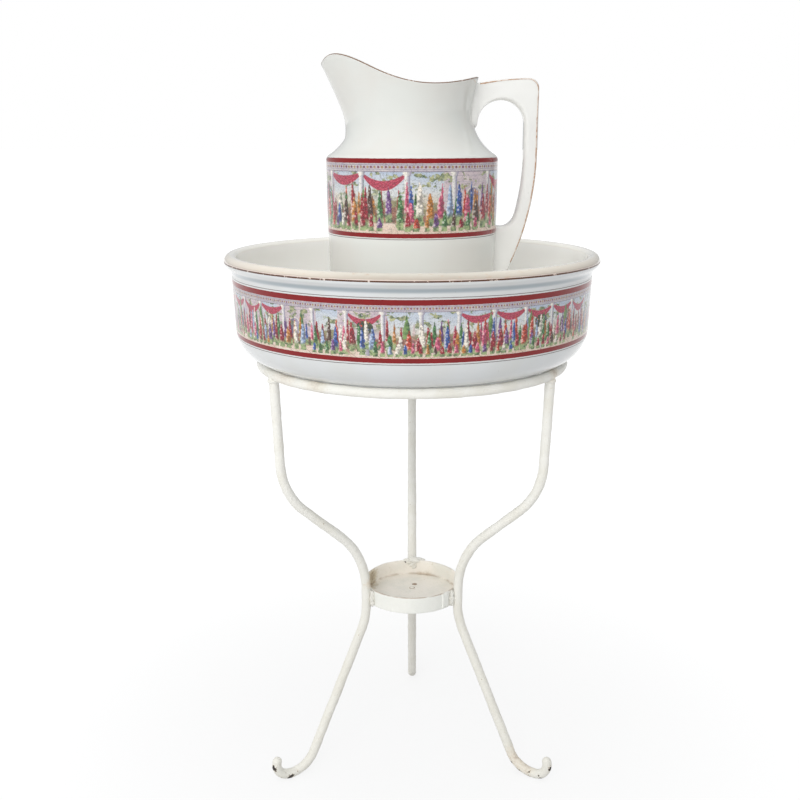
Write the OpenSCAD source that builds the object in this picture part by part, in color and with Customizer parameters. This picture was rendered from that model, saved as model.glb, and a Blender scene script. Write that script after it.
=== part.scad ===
// Iron wash basin stand with its basin and jug.
// Millimetres, +Z up, the floor at z = 0, the stand's axis on Z, the front towards -Y.
// The rod stand carries a loose basin, and a loose jug stands in the basin.

/* [Rod] */
// Diameter of the round iron rod of the hoop and the legs, paint included
rod_d = 10.5; // [8:0.5:12]

/* [Hoop] */
// Diameter of the hoop, across the middle of its rod
hoop_d = 329; // [318:1:340]
// Height of the middle of the hoop's rod above the floor
hoop_z = 470; // [440:5:520]

/* [Legs] */
// Bend radius of a leg just above the tray
knee_bend_r = 93; // [80:1:100]
// Slope of a leg between tray and shoulder, from the vertical
knee_angle = 48; // [44:1:52]
// Bend radius of a leg's shoulder
shoulder_bend_r = 81; // [60:1:90]
// Outward lean of a leg's upper part, from the vertical
lean_angle = 2.5; // [0:0.5:5]
// Bend radius of a leg just below the tray
waist_bend_r = 70; // [50:5:90]
// Outward slope of a leg's lower part, from the vertical
splay_angle = 25; // [20:1:30]
// Bend radius where a leg turns out along the floor
foot_bend_r = 31; // [30:1:50]
// Length of a foot that lies straight on the floor
foot_flat = 2; // [2:0.5:10]
// Bend radius of the turned-up toe
toe_bend_r = 15; // [10:0.5:16]
// Angle through which the toe turns up and back
toe_turn = 100; // [90:5:150]
// Straight length at the end of the toe, before its round tip
toe_tip = 2; // [2:0.5:8]
// Depth of the flat worn under each foot
foot_wear = 0.4; // [0.2:0.1:1]

/* [Tray] */
// Outside diameter of the tray
tray_d = 110; // [100:1:120]
// Height of the tray's underside above the floor
tray_z = 189.5; // [170:0.5:205]
// Height of the tray's wall
tray_h = 19; // [15:0.5:25]
// Thickness of the wall strip
tray_wall_t = 2; // [1:0.5:3]
// Thickness of the tray's floor
tray_floor_t = 1.5; // [1:0.5:3]
// Length of the wall strip's lapped end
tray_lap = 10; // [6:1:14]
// Thickness of the lapped end
tray_lap_t = 1.4; // [1:0.1:2]
// Diameter of the rivet's head
rivet_head_d = 8; // [6:0.5:10]
// Height of the rivet's head
rivet_head_h = 1.2; // [0.8:0.1:2]
// Diameter of the flat on top of the rivet's head
rivet_crown_d = 5.6; // [4:0.2:7]
// Diameter of the rivet's head under the tray
rivet_under_d = 6.4; // [5:0.2:8]
// Diameter of the rivet's shank, at the foot of its countersunk head
rivet_d = 3.5; // [2.5:0.5:5]
// Distance of the rivet behind the tray's middle
rivet_back = 10; // [8:1:12]
// Diameter of the drip hole
drip_d = 3.5; // [2:0.5:5]
// Distance of the drip hole behind the tray's middle
drip_back = 22; // [20:1:26]
// Distance of the drip hole to the right of the tray's middle
drip_side = 3; // [0:0.5:5]

/* [Welds] */
// Thickness of the ring of weld round a leg's top
hoop_weld_d = 6; // [4:0.5:7]
// Diameter of the beads along a leg at the tray
tray_weld_d = 6; // [5.5:0.5:7]
// Distance of the beads' ends from the edges of the tray's wall
tray_weld_inset = 1.9; // [1:0.1:4]

/* [Basin] */
// Diameter of the basin across its rim
rim_d = 400; // [396:1:406]
// How far the rim stands out beyond the basin's side
rim_overhang = 7.75; // [6:0.25:10]
// How far the basin's side draws in from the rim down to its bend
side_draft = 2.25; // [1:0.25:6]
// Height of the basin's rim above its underside
basin_rise = 114.5; // [105:0.5:125]
// Bend radius from the basin's side to its underside
basin_bend_r = 38; // [30:1:44]
// Wall thickness of the basin
basin_wall_t = 6; // [5:0.5:7]
// Height of the flare that carries the rim
rim_flare_h = 14; // [13:0.5:18]
// Gap between the basin's foot ring and the inside of the hoop
foot_ring_gap = 19.25; // [10:0.25:30]
// Height of the foot ring
foot_ring_h = 12; // [8:0.5:14]
// Thickness of the foot ring
foot_ring_t = 8; // [6:0.5:10]

/* [Jug] */
// Diameter of the jug's body
jug_d = 180.4; // [172:0.1:186]
// How far the jug's side draws in down to its base
jug_draft = 3.7; // [1:0.1:6]
// Radius of the rounded edge at the jug's base
jug_base_r = 10; // [7:0.5:14]
// Height at which the jug's body reaches its full diameter
jug_full_h = 167; // [150:1:180]
// Radius of the jug's shoulder
jug_shoulder_r = 8; // [7:0.5:12]
// Diameter of the jug's neck
neck_d = 125.4; // [118:0.5:132]
// Height of the narrowest part of the neck above the jug's base
neck_h = 252; // [246:1:260]
// Radius of the hollow curve from shoulder to neck
neck_curve_r = 49.5; // [42:0.5:56]
// Height of the lip's lowest point above the narrowest part of the neck
lip_rise = 25.5; // [18:0.5:30]
// Flare of the lip beyond the neck
lip_flare = 6; // [3:0.5:8]
// Rise of the lip at the handle
lip_back_rise = 8.5; // [6:0.5:14]
// Rise of the lip towards the spout
lip_spout_rise = 34.5; // [28:0.5:40]
// Dip at the very tip of the spout
spout_dip = 13; // [10:0.5:18]
// Reach of the spout beyond the flared lip
spout_reach = 25; // [18:0.5:30]
// Depth below the narrowest part of the neck where the spout starts
spout_drop = 26; // [18:1:36]
// Wall thickness of the jug
jug_wall_t = 5; // [4:0.5:6]
// Wall thickness at the jug's lip
lip_t = 3.6; // [3:0.2:5]

/* [Handle] */
// Width of the handle, front to back
handle_w = 20; // [17:0.5:24]
// How far the handle stands out from the jug's side
handle_stand = 41.1; // [38:0.1:48]
// Thickness of the handle's limb, seen from the side
handle_t = 14.6; // [13:0.1:18]
// Thickness of the handle's top over the arch
handle_bar_t = 22; // [18:0.5:26]
// Radius of the handle's upper outer corner
handle_corner_r = 10; // [6:0.5:14]
// Radius of the round arch inside the handle's top
handle_arch_r = 24.5; // [24:0.5:27]
// Radius of the long curve of the handle's limb, at its outer edge
handle_curve_r = 280; // [265:5:310]
// Depth below the arch's middle where the limb starts to curve in
handle_curve_drop = 27.5; // [16:0.5:32]
// Length of the finger gap below there
handle_gap_drop = 77; // [70:1:92]

/* [Fits] */
// Gap between the hoop and the basin, and between the basin and the jug
seat_gap = 0.3; // [0.2:0.1:0.5]

/* [Hidden] */
$fn = 96;

// Colours
paint = "#E8E5DA";
bead = "#DEDACD";
glaze = "#EFEDE6";

// Each leg's direction about the axis, measured from +X
leg_dirs = [210, 330, 90];
LEFT = 0;
RIGHT = 1;
BACK = 2;

// Rod and tray
rod_r = rod_d / 2;
joint_l = 1;
joint_swell = 0.05;
hoop_r = hoop_d / 2;
tray_r = tray_d / 2;
tray_bore_r = tray_r - tray_wall_t;
tray_top_z = tray_z + tray_h;
tray_floor_top = tray_z + tray_floor_t;
// The legs pass the tray with their rods against its wall
waist_r = tray_r + rod_r + joint_swell;
// The lap ends beside the right leg's weld beads
leg_half_angle = 2 * asin((rod_r + tray_weld_d) / 2 / tray_r);
lap_angle = tray_lap / tray_r * 180 / PI;
lap_start = leg_dirs[RIGHT] - leg_half_angle - lap_angle;
tray_lap_inset = 0.5;
// The flat worn under the feet is cut out to this radius
floor_r = hoop_d;

// A leg's path lies in one upright plane: x is the distance from the axis, y the height.
LEFTWARD = 1;
RIGHTWARD = -1;
// Below the tray: the shin is as long as it takes to bring the foot down to the floor
foot_rod_z = rod_r - foot_wear;
waist_bend_drop = waist_bend_r * sin(splay_angle);
foot_bend_drop = foot_bend_r * (1 - sin(splay_angle));
shin_run = (tray_z - waist_bend_drop - foot_bend_drop - foot_rod_z) / cos(splay_angle);
// Above the tray: the two straight runs are as long as it takes to bring the rod's middle
// to the middle of the hoop's rod
knee_end = [waist_r + knee_bend_r * (1 - cos(knee_angle)),
            tray_top_z + knee_bend_r * sin(knee_angle)];
shoulder_gain = shoulder_bend_r * [cos(lean_angle) - cos(knee_angle),
                                   sin(knee_angle) - sin(lean_angle)];
run_gain = [hoop_r, hoop_z] - knee_end - shoulder_gain;
run_turn = sin(knee_angle - lean_angle);
slope_run = (run_gain.x * cos(lean_angle) - run_gain.y * sin(lean_angle)) / run_turn;
top_run = (run_gain.y * sin(knee_angle) - run_gain.x * cos(knee_angle)) / run_turn;

// Welds
hoop_weld_r = hoop_weld_d / 2;
hoop_weld_drop = 1.8;
// The middle of a bead lies this far beside the rod and outside the tray's wall
tray_weld_side = 1;
tray_weld_out = 2;
tray_weld_h = tray_h - 2 * tray_weld_inset;

// Basin, with heights above the floor
rim_r = rim_d / 2;
side_top_r = rim_r - rim_overhang;
side_low_r = side_top_r - side_draft;
// It hangs in the hoop by the bend below its side, or by its flat underside if that
// reaches out to the hoop
basin_bend_reach = max(0, hoop_r - side_low_r + basin_bend_r);
basin_bend_lift = sqrt(pow(basin_bend_r + seat_gap + rod_r, 2) - pow(basin_bend_reach, 2));
basin_under_z = hoop_z + basin_bend_lift - basin_bend_r;
basin_floor_z = basin_under_z + basin_wall_t;
rim_z = basin_under_z + basin_rise;
// The rolled rim is as thick as the space from the wall's inner face to the rim's edge
rim_roll_r = (rim_overhang + basin_wall_t) / 2;
rim_mid = [rim_r - rim_roll_r, rim_z - rim_roll_r];
side_top_z = rim_mid.y - rim_flare_h;
// The flare meets the roll at this angle below its middle
rim_flare_angle = 35;
rim_flare_end = rim_mid + rim_roll_r * [cos(rim_flare_angle), -sin(rim_flare_angle)];
basin_bend_mid = [side_low_r - basin_bend_r, basin_under_z + basin_bend_r];
foot_ring_r = hoop_r - rod_r - foot_ring_gap;

// Jug: heights above its own base
jug_z = basin_floor_z + seat_gap;
jug_r = jug_d / 2;
jug_base_mid = [jug_r - jug_draft - jug_base_r, jug_base_r];
neck_r = neck_d / 2;
neck_curve_mid = [neck_r + neck_curve_r, neck_h];
// The shoulder's round edge touches the body's side and the neck's hollow curve
shoulder_mid_r = jug_r - jug_shoulder_r;
shoulder_reach = neck_curve_mid.x - shoulder_mid_r;
shoulder_drop = sqrt(pow(neck_curve_r + jug_shoulder_r, 2) - pow(shoulder_reach, 2));
jug_shoulder_mid = [shoulder_mid_r, neck_h - shoulder_drop];
shoulder_sweep = atan2(shoulder_drop, shoulder_reach);
lip_h = neck_h + lip_rise;
// How late the lip flares out, and how late the spout swells, on the way up to the lip
lip_lateness = 1.5;
spout_lateness = 0.9;
// The spout is pulled out of the neck from here up
spout_from_h = neck_h - spout_drop;
// Width of the spout's bulge about the axis, low down and at the lip
spout_spread_low = 45;
spout_spread_top = 30;
spout_dip_spread = 14;
// Cosine of the direction where the lip is lowest
lip_low_cos = 0.3;
// Height of the lip's rounded crown
lip_crown = 1.2;
// Rings and sides of the jug's facets
edge_steps = 3;
hollow_steps = 7;
jug_sides = 48;
jug_dirs = [for (i = [0:jug_sides - 1]) i * 360 / jug_sides];
neck_rings = 5;

// Handle: x is the distance from the jug's axis, y the height above its base
handle_reach = jug_r + handle_stand;
handle_inner = handle_reach - handle_t;
// Its top runs level with the lip behind it
handle_top_h = lip_h + lip_back_rise;
handle_arch_h = handle_top_h - handle_bar_t - handle_arch_r;
handle_curve_h = handle_arch_h - handle_curve_drop;
handle_gap_h = handle_curve_h - handle_gap_drop;
handle_arch_mid = [handle_inner - handle_arch_r, handle_arch_h];
handle_curve_mid = [handle_reach - handle_curve_r, handle_curve_h];
// Its outline starts well inside the jug
handle_foot_h = jug_base_r;
handle_root_r = neck_r / 2;

// Cuts run this far past what they cut
past = 1;

// ---- Stand ----

// A rod is drawn as a chain. Each link starts at the origin, runs towards +Y, bends in the
// XY plane, and carries on with its children at its end.

// The rod is a hair thicker where one link meets the next
module rod_joint() {
    rotate([90, 0, 0])
        cylinder(r = rod_r + joint_swell, h = joint_l, center = true);
}

module rod_run(length) {
    rod_joint();
    rotate([-90, 0, 0])
        cylinder(r = rod_r, h = length);
    translate([0, length, 0])
        children();
}

// side is LEFTWARD or RIGHTWARD
module rod_bend(r, turn, side) {
    rod_joint();
    translate([-side * r, 0, 0]) {
        rotate([0, 0, side == LEFTWARD ? 0 : 180 - turn])
            rotate_extrude(angle = turn)
                translate([r, 0])
                    circle(r = rod_r);
        rotate([0, 0, side * turn])
            translate([side * r, 0, 0])
                children();
    }
}

// The leg's rod in its own plane: x is the distance from the stand's axis, y the height
module leg_rod() {
    translate([waist_r, tray_top_z, 0]) {
        rod_bend(knee_bend_r, knee_angle, RIGHTWARD)
            rod_run(slope_run)
                rod_bend(shoulder_bend_r, knee_angle - lean_angle, LEFTWARD)
                    rod_run(top_run);
        rotate([0, 0, 180])
            rod_run(tray_h)
                rod_bend(waist_bend_r, splay_angle, LEFTWARD)
                    rod_run(shin_run)
                        rod_bend(foot_bend_r, 90 - splay_angle, LEFTWARD)
                            rod_run(foot_flat)
                                rod_bend(toe_bend_r, toe_turn, LEFTWARD)
                                    rod_run(toe_tip)
                                        sphere(d = rod_d);
    }
}

module hoop_rod() {
    translate([0, 0, hoop_z])
        rotate_extrude()
            translate([hoop_r, 0])
                circle(d = rod_d);
}

module in_leg_plane(which) {
    rotate([0, 0, leg_dirs[which]])
        rotate([90, 0, 0])
            children();
}

// A leg, coped to the hoop at its top and worn flat under its foot
module leg(which) {
    color(paint)
        difference() {
            in_leg_plane(which) leg_rod();
            hoop_rod();
            translate([0, 0, -rod_d])
                cylinder(r = floor_r, h = rod_d);
        }
}

module hoop() {
    color(paint) hoop_rod();
}

// The ring of weld round each leg's top, in the nook under the hoop
module hoop_welds() {
    color(bead)
        for (which = [LEFT, RIGHT, BACK])
            difference() {
                in_leg_plane(which)
                    translate([hoop_r, hoop_z, 0])
                        rotate([90, 0, 0])
                            rotate([0, -lean_angle, 0])
                                translate([0, 0, rod_r + hoop_weld_drop])
                                    rotate_extrude()
                                        difference() {
                                            translate([rod_r, 0])
                                                circle(r = hoop_weld_r);
                                            translate([0, -rod_r])
                                                square([rod_r, rod_d]);
                                        }
                hoop_rod();
            }
}

module leg_left() leg(LEFT);
module leg_right() leg(RIGHT);
module leg_back() leg(BACK);

// ---- Tray ----

// The rivet's countersunk part, which fills the floor's hole
module rivet_cone() {
    cylinder(d1 = rivet_d, d2 = rivet_head_d, h = tray_floor_t);
}

module tray_floor() {
    color(paint)
        translate([0, 0, tray_z])
            difference() {
                cylinder(r = tray_bore_r, h = tray_floor_t);
                translate([0, rivet_back, 0]) {
                    rivet_cone();
                    translate([0, 0, -past])
                        cylinder(d = rivet_d, h = past);
                    translate([0, 0, tray_floor_t])
                        cylinder(d = rivet_head_d, h = past);
                }
                translate([drip_side, drip_back, -past])
                    cylinder(d = drip_d, h = tray_floor_t + 2 * past);
            }
}

// The wall strip, bent into a ring, with its lapped end outside
module tray_wall() {
    color(paint)
        translate([0, 0, tray_z]) {
            difference() {
                cylinder(r = tray_r, h = tray_h);
                translate([0, 0, -past])
                    cylinder(r = tray_bore_r, h = tray_h + 2 * past);
            }
            rotate([0, 0, lap_start])
                rotate_extrude(angle = lap_angle)
                    translate([tray_r - tray_wall_t / 2, tray_lap_inset])
                        square([tray_wall_t / 2 + tray_lap_t, tray_h - 2 * tray_lap_inset]);
        }
}

module tray_rivet() {
    color(bead)
        translate([0, rivet_back, 0]) {
            translate([0, 0, tray_floor_top])
                cylinder(d1 = rivet_head_d, d2 = rivet_crown_d, h = rivet_head_h);
            translate([0, 0, tray_z])
                rivet_cone();
            translate([0, 0, tray_z - rivet_head_h])
                cylinder(d = rivet_under_d, h = rivet_head_h);
        }
}

// Two beads of weld in the nooks between each leg and the tray's wall
module tray_welds() {
    nook_angle = atan2(rod_r + tray_weld_side, tray_r);
    color(bead)
        for (dir = leg_dirs, side = [-1, 1])
            difference() {
                rotate([0, 0, dir + side * nook_angle])
                    translate([tray_r + tray_weld_out, 0, tray_z + tray_weld_inset])
                        cylinder(d = tray_weld_d, h = tray_weld_h);
                translate([0, 0, tray_z])
                    cylinder(r = tray_r, h = tray_h);
                rotate([0, 0, dir])
                    translate([waist_r, 0, tray_z])
                        cylinder(r = rod_r, h = tray_h);
            }
}

// ---- Basin ----

// Half of the basin's outline, filled solid to its axis and drawn in by t
module basin_outline(t) {
    translate([0, basin_under_z + t])
        square([basin_bend_mid.x, basin_bend_r]);
    translate(basin_bend_mid)
        circle(r = basin_bend_r - t);
    polygon([[0, basin_bend_mid.y],
             [side_low_r - t, basin_bend_mid.y],
             [side_top_r - t, side_top_z],
             [side_top_r - t, rim_z + past],
             [0, rim_z + past]]);
}

module basin() {
    color(glaze)
        rotate_extrude() {
            difference() {
                union() {
                    intersection() {
                        basin_outline(0);
                        square([rim_r, rim_mid.y]);
                    }
                    translate(rim_mid)
                        circle(r = rim_roll_r);
                    // Flare under the rim
                    polygon([[side_top_r - basin_wall_t, side_top_z],
                             [side_top_r, side_top_z],
                             rim_flare_end,
                             rim_mid]);
                }
                basin_outline(basin_wall_t);
            }
            translate([foot_ring_r - foot_ring_t, basin_under_z - foot_ring_h])
                square([foot_ring_t, foot_ring_h + basin_wall_t / 2]);
        }
}

// ---- Jug ----

// Points along a round stretch about mid, leaving out the first when skip is 1
function arc(mid, r, from, to, steps, skip = 0) =
    [for (i = [skip:steps])
        let (a = from + (to - from) * i / steps)
        mid + r * [cos(a), sin(a)]];

// The jug's profile up to the neck as [radius, height], drawn in by t
function jug_profile(t) = concat(
    arc(jug_base_mid, jug_base_r - t, -90, 0, edge_steps),
    [[jug_r - t, jug_full_h]],
    arc(jug_shoulder_mid, jug_shoulder_r - t, 0, shoulder_sweep, edge_steps),
    arc(neck_curve_mid, neck_curve_r + t, 180 + shoulder_sweep, 180, hollow_steps, 1));

// Height of the lip in direction a, measured from the handle
function lip_at(a) =
    let (c = cos(a),
         back = max(0, c - lip_low_cos) / (1 - lip_low_cos),
         front = max(0, lip_low_cos - c) / (1 + lip_low_cos),
         dip = spout_dip * exp(-pow((a - 180) / spout_dip_spread, 2)))
    lip_h + lip_back_rise * pow(back, 2) + lip_spout_rise * pow(front, 2) - dip;

// How far the spout pulls the wall out in direction a at height h
function pull(a, h) =
    let (share = max(0, min(1, (h - spout_from_h) / (lip_at(a) - spout_from_h))),
         spread = spout_spread_low + (spout_spread_top - spout_spread_low) * share)
    spout_reach * pow(share, spout_lateness) * exp(-pow((a - 180) / spread, 2));

function jug_point(a, r, h) = (r + pull(a, h)) * [cos(a), sin(a), 0] + [0, 0, h];

// A ring of points round the jug at share u of the way from neck to lip, drawn in by t
function neck_ring(u, t) =
    [for (a = jug_dirs)
        jug_point(a, neck_r + lip_flare * pow(u, lip_lateness) - t,
                  neck_h + (lip_at(a) - neck_h) * u)];

// All rings of one skin of the jug, from its base to its lip
function jug_skin(t, t_lip) = concat(
    [for (p = jug_profile(t)) [for (a = jug_dirs) jug_point(a, p.x, p.y)]],
    [for (i = [1:neck_rings]) neck_ring(i / neck_rings, t + (t_lip - t) * i / neck_rings)]);

function reversed(list) = [for (i = [len(list) - 1:-1:0]) list[i]];

// A closed body through rings of jug_sides points each, capped by its first and last ring
module ring_body(rings) {
    n = jug_sides;
    last = (len(rings) - 1) * n;
    polyhedron(
        points = [for (ring = rings) each ring],
        faces = concat(
            [[for (i = [0:n - 1]) i]],
            [[for (i = [n - 1:-1:0]) last + i]],
            [for (k = [0:len(rings) - 2], i = [0:n - 1])
                let (a = k * n + i, b = k * n + (i + 1) % n)
                each [[a, a + n, b], [b, a + n, b + n]]]));
}

module jug_body() {
    crown = [for (p = neck_ring(1, lip_t / 2)) p + [0, 0, lip_crown]];
    color(glaze)
        translate([0, 0, jug_z])
            ring_body(concat(jug_skin(0, 0), [crown], reversed(jug_skin(jug_wall_t, lip_t))));
}

// The jug's round outside, where the handle meets it, up past the top of the handle
module jug_round() {
    neck = [for (i = [1:neck_rings])
        let (u = i / neck_rings)
        [neck_r + lip_flare * pow(u, lip_lateness), neck_h + (lip_at(0) - neck_h) * u]];
    top = neck_h + handle_top_h;
    rotate_extrude()
        polygon(concat([[0, 0]], jug_profile(0), neck,
                       [[neck_r + lip_flare, top], [0, top]]));
}

// The handle seen from the side, from inside the jug's wall out
module handle_side() {
    difference() {
        intersection() {
            union() {
                translate([handle_root_r, handle_foot_h])
                    square([handle_reach - handle_root_r,
                            handle_top_h - handle_foot_h - handle_corner_r]);
                translate([handle_root_r, handle_foot_h])
                    square([handle_reach - handle_root_r - handle_corner_r,
                            handle_top_h - handle_foot_h]);
                translate([handle_reach, handle_top_h] - handle_corner_r * [1, 1])
                    circle(r = handle_corner_r);
            }
            union() {
                translate([0, handle_curve_h])
                    square([handle_reach, handle_top_h]);
                translate(handle_curve_mid)
                    circle(r = handle_curve_r);
            }
        }
        // Finger gap
        translate(handle_arch_mid)
            circle(r = handle_arch_r);
        translate([0, handle_curve_h])
            square([handle_inner, handle_arch_h - handle_curve_h]);
        intersection() {
            translate([0, handle_gap_h])
                square([handle_inner, handle_curve_h - handle_gap_h]);
            translate(handle_curve_mid)
                circle(r = handle_curve_r - handle_t);
        }
    }
}

// The handle, luted to the jug's neck and side
module jug_handle() {
    color(glaze)
        translate([0, 0, jug_z])
            difference() {
                rotate([90, 0, 0])
                    linear_extrude(handle_w, center = true)
                        handle_side();
                jug_round();
            }
}

hoop();
hoop_welds();
leg_left();
leg_right();
leg_back();
tray_floor();
tray_wall();
tray_rivet();
tray_welds();
basin();
jug_body();
jug_handle();
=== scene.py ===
from math import asin, atan2, cos, degrees, exp, hypot, pi, radians, sin, sqrt

import bpy
import numpy as np
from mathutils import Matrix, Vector, noise


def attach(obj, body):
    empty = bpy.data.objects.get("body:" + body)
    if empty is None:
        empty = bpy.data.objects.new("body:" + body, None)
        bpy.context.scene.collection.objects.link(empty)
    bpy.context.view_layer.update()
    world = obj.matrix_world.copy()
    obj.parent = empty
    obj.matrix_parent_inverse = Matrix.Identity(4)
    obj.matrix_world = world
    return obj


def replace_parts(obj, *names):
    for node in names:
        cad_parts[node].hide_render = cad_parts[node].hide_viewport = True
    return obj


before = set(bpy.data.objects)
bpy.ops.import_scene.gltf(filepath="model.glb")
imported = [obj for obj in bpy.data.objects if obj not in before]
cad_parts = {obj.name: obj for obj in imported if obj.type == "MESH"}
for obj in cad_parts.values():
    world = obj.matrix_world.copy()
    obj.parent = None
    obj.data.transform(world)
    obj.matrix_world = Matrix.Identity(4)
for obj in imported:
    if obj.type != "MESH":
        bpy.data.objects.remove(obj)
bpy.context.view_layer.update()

# Sizes are in millimetres here, as in the part's source, and MM turns them into metres.
MM = 0.001
scene = bpy.context.scene

# ---- Sizes ----

ROD_R = 5.25
HOOP_R, HOOP_Z = 164.5, 470.0
LEG_DIRS = {"left": 210, "right": 330, "back": 90}
KNEE_R, KNEE = 93, 48
SHOULDER_R, LEAN = 81, 2.5
WAIST_R, SPLAY = 70, 25
FOOT_R, FOOT_FLAT, FOOT_WEAR = 31, 2, 0.4
TOE_R, TOE_TURN, TOE_TIP = 15, 100, 2
WELD_R, WELD_IN, WELD_DROP = 2.3, 1.1, 0.8

TRAY_R, TRAY_WALL, TRAY_Z, TRAY_H = 55.0, 2.0, 189.5, 19.0
TRAY_TOP = TRAY_Z + TRAY_H
TRAY_FLOOR = 1.5
LAP_START, LAP_END, LAP_T = 307.9, 318.3, 1.4
RIVET_Y, RIVET_R, RIVET_H = 10.0, 4.0, 1.2
DRIP_AT = (3.0, 22.0)
LEG_AXIS_R = TRAY_R + ROD_R + 0.05

UNDER_Z = 473.722
RIM_R, RIM_Z, ROLL_R = 200.0, 588.222, 6.875
ROLL_MID = (RIM_R - ROLL_R, RIM_Z - ROLL_R)
ROLL_LOW = ROLL_MID[1] - 1.35
SIDE_TOP_R, SIDE_LOW_R, BEND_R, BASIN_T = 192.25, 190.0, 38.0, 6.0
SIDE_TOP_Z = ROLL_MID[1] - 14
BEND_MID = (SIDE_LOW_R - BEND_R, UNDER_Z + BEND_R)
FOOT_RING_R, FOOT_RING_T, FOOT_RING_H = 140.0, 8.0, 12.0

# The jug's and its handle's heights count from the jug's base
JUG_Z = UNDER_Z + BASIN_T + 0.3
JUG_R, JUG_BASE_R, JUG_EDGE_R, JUG_T = 90.2, 86.5, 10.0, 5.0
JUG_FULL, SHOULDER_EDGE = 167.0, 8.0
NECK_R, NECK_H, NECK_CURVE = 62.7, 252.0, 49.5
LIP_H, LIP_FLARE, LIP_BACK, LIP_SPOUT, LIP_T = 277.5, 6.0, 8.5, 34.5, 3.6
LIP_LOW_COS, LIP_CROWN = 0.3, 1.2
SPOUT_DIP, SPOUT_REACH, SPOUT_DROP = 13.0, 25.0, 26.0
SPREAD_LOW, SPREAD_TOP, DIP_SPREAD = 45, 30, 14
LIP_LATENESS, SPOUT_LATENESS = 1.5, 0.9

HANDLE_OUT, HANDLE_T, HANDLE_W, HANDLE_CORNER = 131.3, 14.6, 20.0, 10
HANDLE_TOP, ARCH_R, ARCH_H = 286.0, 24.5, 239.5
LIMB_R, LIMB_H, GAP_H, FOOT_H = 280.0, 212.0, 135.0, 57
TOP_FALL = 5.2
# The handle's top begins here, and widens where it meets the neck
ROOT_X, ROOT_FLARE = 66.0, (1.5, 1.16, 1.08, 1.03, 1.0)

# Printed bands as heights above the floor: lower line, lower stripe, picture, upper stripe
BASIN_BAND = {"low": 504.6, "bottom": 509.2, "top": 558.6, "high": 563.9,
              "pencil": (502.9, 565.6)}
JUG_BAND = {"low": 609.6, "bottom": 614.0, "top": 682.0, "high": 686.6, "pencil": (608.2,)}
# How far a print stands proud of the wall and reaches into it, and how far its glaze goes
# on past its lowest line
PROUD, SINK, MARGIN = 0.12, 0.6, 1.2


# ---- Shader helpers ----

class Value:
    """A number, vector or colour in a shader. Sums with it add the nodes that they need."""

    def __init__(self, nodes, socket):
        self.math, self.socket = nodes.math, socket

    def __add__(self, other):
        return self.math("ADD", self, other)

    def __sub__(self, other):
        return self.math("SUBTRACT", self, other)

    def __rsub__(self, other):
        return self.math("SUBTRACT", other, self)

    def __mul__(self, other):
        return self.math("MULTIPLY", self, other)

    def __truediv__(self, other):
        return self.math("DIVIDE", self, other)

    def __abs__(self):
        return self.math("ABSOLUTE", self)


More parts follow.
